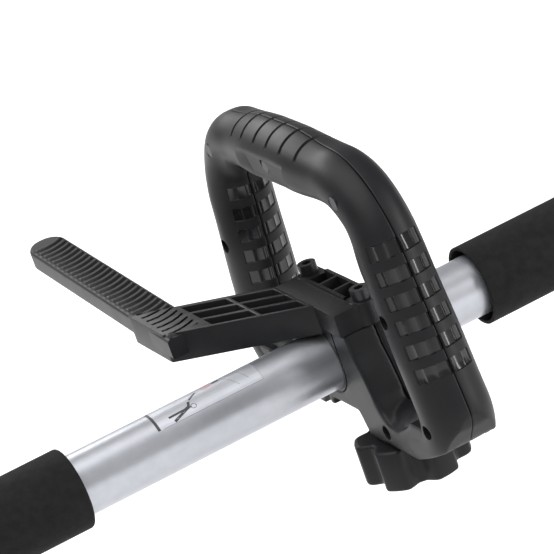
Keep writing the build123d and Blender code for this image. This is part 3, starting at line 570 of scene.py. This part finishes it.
BORE_R = 15.6


def bore_arc(start_deg, end_deg, steps=18):
    angles = [math.radians(start_deg + (end_deg - start_deg) * k / steps) for k in range(steps + 1)]
    return [(BORE_R * math.cos(a), BORE_R * math.sin(a)) for a in angles]


def foot_outline(left):
    """The limb beside the tube, as (y, z) for the left side; the near one has the tongue under the tube."""
    outer = [(29.6, 18.4), (31.5, 8), (35, 1), (37, -5), (38.6, -11), (41.5, -16.5), (46, -20.5)]
    outer += [(54, -21.5), (62, -18), (70, -13)]
    under = [(82, -13), (84, -25), (64, -32.4)]
    if left:
        under += [(30, -27.4), (20.9, -27.4)]
        inner = [(17.4, -22.6), (17.4, -8), (15.9, -5.6)]
        seat = bore_arc(-20, 14)
    else:
        under += [(50, -32.4), (21.2, -32.4)]
        inner = [(19.7, -29), (16.5, -21.3), (-8, -21.3), (-9.4, -22.6), (-9.8, -25.3)]
        inner += [(-13.6, -25.3), (-13.7, -9)]
        seat = bore_arc(211, 374, 40)
    return outer + under + inner + seat + [(15.2, 18.4)]


FOOT_GAP = 0.12          # half of the gap between the two shells' feet
FOOT_FACE = 14.9         # half of a foot's width along the shaft
FOOT_START = ARMS_END - 18
FOOT_VOXEL = 0.75
BLEND_SPOT = (52, -24)   # where the tube meets the limb, smoothed more than the rest
BLEND_REACH = 19


def tube_piece(name, side, s0, s1, x_side, r):
    """A plain half-round length of the loop's tube, closed, for blending into the foot."""
    verts = []
    steps = int(abs(s1 - s0) / 1.5)
    arc = [math.pi * k / 40 for k in range(41)]
    for k in range(steps + 1):
        s = s0 + (s1 - s0) * k / steps
        (y, z), (ny, nz) = on_loop(side * s)
        for a in arc:
            spot_y = y + ny * r * math.cos(a)
            spot_z = settled(spot_y, z + nz * r * math.cos(a))
            verts.append(place(x_side * max(r * math.sin(a), FOOT_GAP), spot_y, spot_z))
    obj = add_mesh(name, verts, banded_faces(steps + 1, len(arc)), [GRIP])
    return turned_outwards(obj)


def join(name, objects):
    verts = []
    faces = []
    kinds = []
    materials = list(objects[0].data.materials)
    for obj in objects:
        base = len(verts)
        verts += [v.co.copy() for v in obj.data.vertices]
        faces += [[base + i for i in p.vertices] for p in obj.data.polygons]
        kinds += [p.material_index for p in obj.data.polygons]
        bpy.data.objects.remove(obj, do_unlink=True)
    return add_mesh(name, verts, faces, materials, kinds)


def foot(name, left, x_side):
    """The bottom of the loop on one side, where its round tube flows into the flat limb of the clamp."""
    side = 1 if left else -1
    outline = [(side * y, z) for y, z in foot_outline(left)]
    x0, x1 = sorted((x_side * FOOT_GAP, x_side * FOOT_FACE))
    block = extruded(name + "_block", outline, x0, x1, [GRIP])
    run = tube_piece(name + "_run", side, FOOT_START, LOOP_HALF_LENGTH - 6, x_side, LOOP_R + 0.1)
    body = join(name, [block, run])
    remesh = body.modifiers.new("blend", "REMESH")
    remesh.mode = "VOXEL"
    remesh.voxel_size = FOOT_VOXEL * MM
    remesh.use_smooth_shade = True
    apply_modifiers(body)
    smooth_foot(body, side)
    return body


def smooth_foot(body, side):
    """Smooths the blend between tube and limb, and the rest of the foot a little."""
    mesh = bmesh.new()
    mesh.from_mesh(body.data)
    centre = Vector(place(0, side * BLEND_SPOT[0], BLEND_SPOT[1]))
    soft = []
    crisp = []
    for v in mesh.verts:
        near = math.hypot(v.co.y - centre.y, v.co.z - centre.z)
        (soft if near < BLEND_REACH * MM else crisp).append(v)
    axes = {"use_axis_x": True, "use_axis_y": True, "use_axis_z": True}
    for verts, passes in ((soft, 14), (crisp, 2)):
        for _ in range(passes):
            bmesh.ops.smooth_vert(mesh, verts=verts, factor=0.5, **axes)
    mesh.to_mesh(body.data)
    mesh.free()
    body.data.polygons.foreach_set("use_smooth", [True] * len(body.data.polygons))


TOP_HOLES = [(0, 93.0), (63.5, 88.0), (-63.5, 88.0), (80, 37.5), (-80, 37.5)]
CORNER_HOLES = [(88, -12), (-88, -12)]
LIMB_HOLES = [(41, -25.5), (-41, -25.5)]
HOLE_R = 3.3
HOLE_FLOOR = -9.8


def build_loop():
    shells = ((-1, "loop_near_shell", "loop_rear_shell"), (1, "loop_far_shell", "loop_front_shell"))
    for x_side, shell_name, node in shells:
        arms = loop_shell(shell_name + "_arms", x_side, -ARMS_END, ARMS_END)
        left = foot(shell_name + "_foot_left", True, x_side)
        right = foot(shell_name + "_foot_right", False, x_side)
        if x_side < 0:
            left_holes = [spot for spot in CORNER_HOLES + LIMB_HOLES if spot[0] > 0]
            right_holes = [spot for spot in CORNER_HOLES + LIMB_HOLES if spot[0] < 0]
            for part, places in ((arms, TOP_HOLES + CORNER_HOLES), (left, left_holes), (right, right_holes)):
                cut_with(part, [rod_x("hole", HOLE_R, y, z, -25, HOLE_FLOOR) for y, z in places])
        for part, ending in ((arms, "_arms"), (left, "_foot_left"), (right, "_foot_right")):
            part.name = shell_name + ending
            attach(part, "loop_handle")
            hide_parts(node)


# ---- Barrier bar ----

BOLT_Y = 26.0
BAR_TOP = 29.9
BAR_BOTTOM = 19.6


def height_field(name, us, vs, top, bottom, spot, materials):
    """A closed block over a skewed grid, its top given cell by cell, with vertical walls between cells."""
    verts = []
    index = {}

    def vertex(i, j, z):
        key = (i, j, round(z, 4))
        if key not in index:
            x, y = spot(us[i], vs[j])
            index[key] = len(verts)
            verts.append(place(x, y, z))
        return index[key]

    faces = []
    nu, nv = len(us) - 1, len(vs) - 1
    middles = [(vs[j] + vs[j + 1]) / 2 for j in range(nv)]
    heights = [[top((us[i] + us[i + 1]) / 2, middle) for middle in middles] for i in range(nu)]
    for i in range(nu):
        for j in range(nv):
            h = heights[i][j]
            corners = [(i, j), (i + 1, j), (i + 1, j + 1), (i, j + 1)]
            faces.append([vertex(*corner, h) for corner in corners])
            faces.append([vertex(*corners[k], bottom) for k in (0, 3, 2, 1)])
            walls = ((1, 0, 1, 2), (0, 1, 2, 3), (-1, 0, 3, 0), (0, -1, 0, 1))
            for di, dj, first, last in walls:
                a, b = corners[first], corners[last]
                other = bottom
                if 0 <= i + di < nu and 0 <= j + dj < nv:
                    other = heights[i + di][j + dj]
                if other < h - 1e-6:
                    faces.append([vertex(*a, h), vertex(*a, other), vertex(*b, other), vertex(*b, h)])
    obj = add_mesh(name, verts, faces, materials, smooth=True)
    return turned_outwards(obj)


ARM_SLOPE = -0.872            # the arm's run in y for each millimetre in x
ARM_STRETCH = 1.075
ARM_U = [-70.2, -51.4, -35.4, -33.5, -18.2, -16.4]
ARM_V = [-18.6, -16.0, -7.6, -4.7, 3.7, 6.6, 15.0, 18.6]
ARM_POCKETS_U = ((ARM_U[1], ARM_U[2]), (ARM_U[3], ARM_U[4]))
ARM_POCKETS_V = ((ARM_V[1], ARM_V[2]), (ARM_V[3], ARM_V[4]), (ARM_V[5], ARM_V[6]))
ARM_FLOOR = 18.0              # the height of its pockets' floor
ARM_BOTTOM = 16.0


def arm_spot(u, v):
    """A place on the arm: u is x, and v the distance in y from the arm's middle line at that x."""
    return u, 11.0 + ARM_SLOPE * (u + 18.4) + v * ARM_STRETCH


def within(value, spans):
    return any(low < value < high for low, high in spans)


def arm_top(u, v):
    return ARM_FLOOR if within(u, ARM_POCKETS_U) and within(v, ARM_POCKETS_V) else BAR_TOP


def build_arm():
    arm = height_field("barrier_arm", ARM_U, ARM_V, arm_top, ARM_BOTTOM, arm_spot, [GRIP])
    return sharp_by_angle(edge_rounding(arm, 0.6))


PLATE_X = [-16.4, -5.6, -4.3, 4.2, 5.9]
PLATE_Y = [-30.0, -19.6, -7.9, -6.2, 5.4, 7.1, 18.8, 30.0]
PLATE_POCKETS = ((PLATE_Y[1], PLATE_Y[2]), (PLATE_Y[3], PLATE_Y[4]), (PLATE_Y[5], PLATE_Y[6]))
PLATE_FLOOR = 21.5
PLATE_MIDDLE = 30.6           # heights of its top: between the bolts, round them, and at the near edge
PLATE_ENDS = 29.3
PLATE_EDGE = 29.0
PLATE_BOTTOM = 18.5
SADDLE_HALF = 14.9


def plate_top(x, y):
    if PLATE_X[2] < x < PLATE_X[3] and within(y, PLATE_POCKETS):
        return PLATE_FLOOR
    if x <= PLATE_X[1]:
        return PLATE_EDGE
    return PLATE_MIDDLE if abs(y) < -PLATE_Y[1] else PLATE_ENDS


def build_plate():
    square = lambda x, y: (x, y)
    plate = height_field("barrier_plate", PLATE_X, PLATE_Y, plate_top, PLATE_BOTTOM, square, [GRIP])
    return sharp_by_angle(edge_rounding(plate, 0.5))


def lathe(name, profile, x, y, materials, sides=48):
    """A closed turned piece on a vertical axis; profile is (radius, z), from bottom to top."""
    verts = []
    for r, z in profile:
        for k in range(sides):
            a = 2 * math.pi * k / sides
            verts.append(place(x + r * math.cos(a), y + r * math.sin(a), z))
    return sharp_by_angle(add_mesh(name, verts, banded_faces(len(profile), sides), materials))


def build_bosses():
    profile = [(6.2, 18.6), (6.2, 28.6), (5.9, 29.1), (5.3, 29.4), (4.6, 29.45)]
    places = (("right", -BOLT_Y), ("left", BOLT_Y))
    return [lathe("barrier_boss_" + name, profile, 0, y, [GRIP]) for name, y in places]


def build_saddle():
    """The arch under the plate that presses on the tube."""
    angles = [math.radians(a) for a in np.linspace(-72, 72, 40)]
    arch = [(BORE_R * math.sin(a), BORE_R * math.cos(a)) for a in angles]
    outline = [(-SADDLE_HALF, PLATE_BOTTOM), *arch, (SADDLE_HALF, PLATE_BOTTOM)]
    saddle = extruded("barrier_saddle", outline, -SADDLE_HALF, SADDLE_HALF, [GRIP])
    return sharp_by_angle(edge_rounding(saddle, 0.5))


BAR_NEAR_X = -70.7       # the ribbed bar's edges at y = 40
BAR_FAR_X = -52.2
BAR_LEAN = 5.9           # how far both move along the shaft over 170 mm
BAR_TIP = 209.0          # where its rounded tip starts
BAR_TIP_LENGTH = 10.5
RIB_FIRST = 31.0
RIB_PITCH = 6.15
RIBS = 30
RIB_HEIGHT = 1.0


def bar_spot(t, v):
    """A place on the ribbed bar: t is y along it, v goes from -1 at its near edge to 1 at its far edge."""
    lean = BAR_LEAN * (t - 40) / 170
    near = BAR_NEAR_X + lean
    far = BAR_FAR_X + lean
    middle = (near + far) / 2
    half = (far - near) / 2
    if t > BAR_TIP:
        half *= math.sqrt(max(0.0, 1 - ((t - BAR_TIP) / BAR_TIP_LENGTH) ** 2)) ** 0.8
    return middle + v * half, t


def rib(t, v):
    """The height of the curved cross ribs on the bar's top."""
    bowed = t + 3.4 * (1 - v * v) - 1.5 * v
    phase = (bowed - RIB_FIRST) / RIB_PITCH
    if not -0.5 < phase < RIBS - 0.5:
        return 0.0
    off = abs(phase - round(phase))
    edge = min(1.0, max(0.0, (0.86 - abs(v)) / 0.07))
    return RIB_HEIGHT * edge * (1 - max(0.0, min(1.0, (off - 0.20) / 0.13)))


def bar_edge(v, start, height):
    """How far the bar's surface curves away at its edge, from start outwards."""
    share = max(0.0, (abs(v) - start) / (1 - start))
    return height * (1 - math.sqrt(max(0.0, 1 - share ** 2)))


def build_bar():
    """The ribbed bar: a rounded bar with raised ribs across its top."""
    tip = BAR_TIP + BAR_TIP_LENGTH * np.sin(np.linspace(0.5, math.pi / 2 - 0.02, 14))
    ts = np.concatenate([np.arange(30.0, 214.0, 0.5), tip])
    vs = np.sin(np.linspace(-math.pi / 2, math.pi / 2, 41))
    verts = []
    for t in sorted(ts):
        for v in vs:
            x, y = bar_spot(float(t), float(v))
            drop = bar_edge(v, 0.83, 1.6)
            verts.append(place(x, y, BAR_TOP - RIB_HEIGHT - drop + rib(float(t), float(v))))
        for v in vs[::-1]:
            x, y = bar_spot(float(t), float(v))
            verts.append(place(x, y, BAR_BOTTOM + bar_edge(v, 0.9, 1.0)))
    obj = add_mesh("barrier_ribbed_bar", verts, banded_faces(len(ts), 2 * len(vs)), [GRIP])
    return sharp_by_angle(turned_outwards(obj), 50)


def build_barrier():
    pieces = [build_arm(), build_plate(), build_saddle(), build_bar(), *build_bosses()]
    for piece in pieces:
        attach(piece, "loop_handle")
        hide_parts("barrier_bar")


# ---- Star knob ----

KNOB_LOBES = 6
KNOB_FIRST_LOBE = 38.0
KNOB_R = 24.1
KNOB_TOP = -33.7
KNOB_BOTTOM = -53.1
SCALLOP_DEPTH = 4.8


def knob_radius(angle):
    """Flat-ended lobes with round scallops between them."""
    turn = (math.degrees(angle) - KNOB_FIRST_LOBE) % (360 / KNOB_LOBES) - 180 / KNOB_LOBES
    off = abs(turn)                     # degrees from a scallop's middle
    return KNOB_R - SCALLOP_DEPTH * (1 - smooth_step(off, 3.5, 19.5))


def build_knob():
    sides = KNOB_LOBES * 42
    rim = [(2.4, 0.0), (1.1, 0.15), (0.4, 0.6), (0.0, 1.5)]
    inset = [(gap, KNOB_BOTTOM + rise) for gap, rise in rim]
    inset += [(gap, KNOB_TOP - rise) for gap, rise in rim[::-1]]
    verts = []
    for gap, z in inset:
        for k in range(sides):
            a = 2 * math.pi * k / sides
            r = knob_radius(a) - gap
            verts.append(place(r * math.cos(a), -BOLT_Y + r * math.sin(a), z))
    knob = sharp_by_angle(add_mesh("star_knob_body", verts, banded_faces(len(inset), sides), [GRIP]), 50)
    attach(knob, "star_knob")
    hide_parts("star_knob")


# ---- Printed marks on the shaft ----

INK = plastic("mark_ink", (0.03, 0.03, 0.035), 0.4)
MARK_GREY = plastic("mark_grey", (0.25, 0.26, 0.29), 0.4)
MARK_RED = plastic("mark_red", (0.55, 0.10, 0.10), 0.4)
FILM = metal("mark_film", (0.50, 0.51, 0.55), 0.33, 0.7)

MARK_BASE = 0.005        # heights over the tube
FILM_LIFT = 0.015
MARK_LIFT = 0.028


def tube_patch(name, points, widths, material, lift):
    """A thin closed strip on the tube along points (x, degrees from the top towards the right side)."""
    verts = []
    flat = [np.array((x, math.radians(a) * TUBE_R)) for x, a in points]
    for k, p in enumerate(flat):
        ahead = flat[min(k + 1, len(flat) - 1)] - flat[max(k - 1, 0)]
        ahead = ahead / np.linalg.norm(ahead)
        across = np.array((-ahead[1], ahead[0])) * widths[k] / 2
        low, high = TUBE_R + MARK_BASE, TUBE_R + lift
        for q, r in ((p - across, low), (p + across, low), (p + across, high), (p - across, high)):
            a = q[1] / TUBE_R
            verts.append(place(q[0], -r * math.sin(a), r * math.cos(a)))
    obj = add_mesh(name, verts, banded_faces(len(points), 4), [material], smooth=False)
    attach(obj, "shaft")
    return obj


def stretch(a, b, steps=12):
    dx, dy = b[0] - a[0], b[1] - a[1]
    return [(a[0] + dx * k / steps, a[1] + dy * k / steps) for k in range(steps + 1)]


def line(name, a, b, width, material):
    points = stretch(a, b)
    return tube_patch(name, points, [width] * len(points), material, MARK_LIFT)


def dot(name, centre, radius, material):
    """A round mark: a strip as wide as the circle is at each step across it."""
    steps = 14
    points = []
    widths = []
    for k in range(steps + 1):
        t = -0.98 + 1.96 * k / steps
        points.append((centre[0] + radius * t, centre[1]))
        widths.append(2 * radius * math.sqrt(1 - t * t))
    return tube_patch(name, points, widths, material, MARK_LIFT)


def build_marks():
    """A plain film with an outline, a stick figure and a red mark. It has no words."""
    low, high = -14.0, 46.0
    rear, front = -100.0, -48.5
    middle = (low + high) / 2
    film = stretch((rear, middle), (front, middle), 2)
    bands = 10
    for k in range(bands):
        a0 = low + (high - low) * k / bands
        a1 = low + (high - low) * (k + 1) / bands
        points = [(x, (a0 + a1) / 2) for x, _ in film]
        width = math.radians(a1 - a0) * TUBE_R
        tube_patch("mark_film_%d" % k, points, [width] * len(points), FILM, FILM_LIFT)
    line("mark_end_bar", (rear, high), (rear, low), 1.3, INK)
    line("mark_edge_near", (rear + 2, high), (front, high), 0.28, MARK_GREY)
    line("mark_edge_far", (rear, low), (front, low), 0.28, MARK_GREY)
    line("mark_edge_front", (front, low), (front, high), 0.24, MARK_GREY)
    line("mark_slant_a", (front - 8, -6), (front - 5.2, 30), 0.34, MARK_GREY)
    line("mark_slant_b", (front - 15, -6), (front - 10.2, 34), 0.34, MARK_GREY)
    line("mark_leg_a", (-93.5, 31), (-84.0, 30), 1.1, INK)
    line("mark_leg_b", (-92.0, 43), (-84.5, 31), 1.3, INK)
    line("mark_body", (-86.5, 33), (-82.2, 27), 1.7, INK)
    line("mark_arm", (-83.6, 30), (-82.0, 17), 1.2, INK)
    line("mark_pole", (-81.3, 14), (-76.6, 0), 0.9, INK)
    dot("mark_head", (-81.2, 31), 1.35, INK)
    line("mark_red", (-73.5, -3), (-68.5, -3), 2.2, MARK_RED)
    line("mark_tip", (-68.0, -4), (-64.5, -4), 1.6, INK)


# ---- Stage ----

def build_stage():
    floor_mesh = bpy.data.meshes.new("floor")
    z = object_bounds()[0][2] - 0.002
    size = 12.0
    corners = [(-size, -size, z), (size, -size, z), (size, size, z), (-size, size, z)]
    floor_mesh.from_pydata(corners, [], [(0, 1, 2, 3)])
    floor = bpy.data.objects.new("floor", floor_mesh)
    bpy.context.collection.objects.link(floor)
    material, _, shader = new_material("pale_floor")
    shader.inputs["Base Color"].default_value = (0.9, 0.9, 0.9, 1)
    shader.inputs["Roughness"].default_value = 0.9
    floor_mesh.materials.append(material)


def area_light(name, offset, target, size, power):
    """A soft box aimed at target; both are in millimetres from the loop's centre."""
    light = bpy.data.lights.new(name, "AREA")
    light.shape = "RECTANGLE"
    light.size, light.size_y = size
    light.energy = power
    obj = bpy.data.objects.new(name, light)
    obj.location = place(*offset)
    aim = Vector(place(*target)) - obj.location
    obj.rotation_euler = aim.to_track_quat("-Z", "Y").to_euler()
    bpy.context.collection.objects.link(obj)


def build_lights():
    world = bpy.data.worlds.new("studio")
    world.use_nodes = True
    world.node_tree.nodes["Background"].inputs["Color"].default_value = (1, 1, 1, 1)
    world.node_tree.nodes["Background"].inputs["Strength"].default_value = 0.42
    bpy.context.scene.world = world
    sun = bpy.data.lights.new("ceiling", "SUN")
    sun.energy = 3.0
    sun.angle = math.radians(70)
    ceiling = bpy.data.objects.new("ceiling", sun)
    ceiling.rotation_euler = Vector((0.35, 0.10, -0.93)).to_track_quat("-Z", "Y").to_euler()
    bpy.context.collection.objects.link(ceiling)
    area_light("side_box", (1100, -1100, 450), (0, 0, 20), (0.35, 1.3), 14)
    area_light("back_box", (-300, 1300, 900), (0, 0, 20), (1.2, 0.5), 14)
    bpy.context.scene.view_settings.view_transform = "Standard"


CAMERA_POINT = (-503.6, -1382.6, 596.7)   # from the loop's centre
CAMERA_AIM = (-23.93, 0.0, 44.89)
CAMERA_ROLL = -19.473
CAMERA_FOV = 8.697


def build_camera():
    data = bpy.data.cameras.new("camera")
    data.sensor_width = 36
    data.lens = data.sensor_width / 2 / math.tan(math.radians(CAMERA_FOV) / 2)
    data.clip_end = 60
    data.clip_start = 0.05
    camera = bpy.data.objects.new("camera", data)
    camera.location = place(*CAMERA_POINT)
    aim = Vector(place(*CAMERA_AIM)) - camera.location
    turn = aim.to_track_quat("-Z", "Y").to_matrix().to_4x4()
    roll = Matrix.Rotation(math.radians(CAMERA_ROLL), 4, "Z")
    camera.rotation_euler = (turn @ roll).to_euler()
    bpy.context.collection.objects.link(camera)
    bpy.context.scene.camera = camera


dress_cad_nodes()
build_camera()
build_loop()
build_barrier()
build_knob()
build_marks()
build_stage()
build_lights()
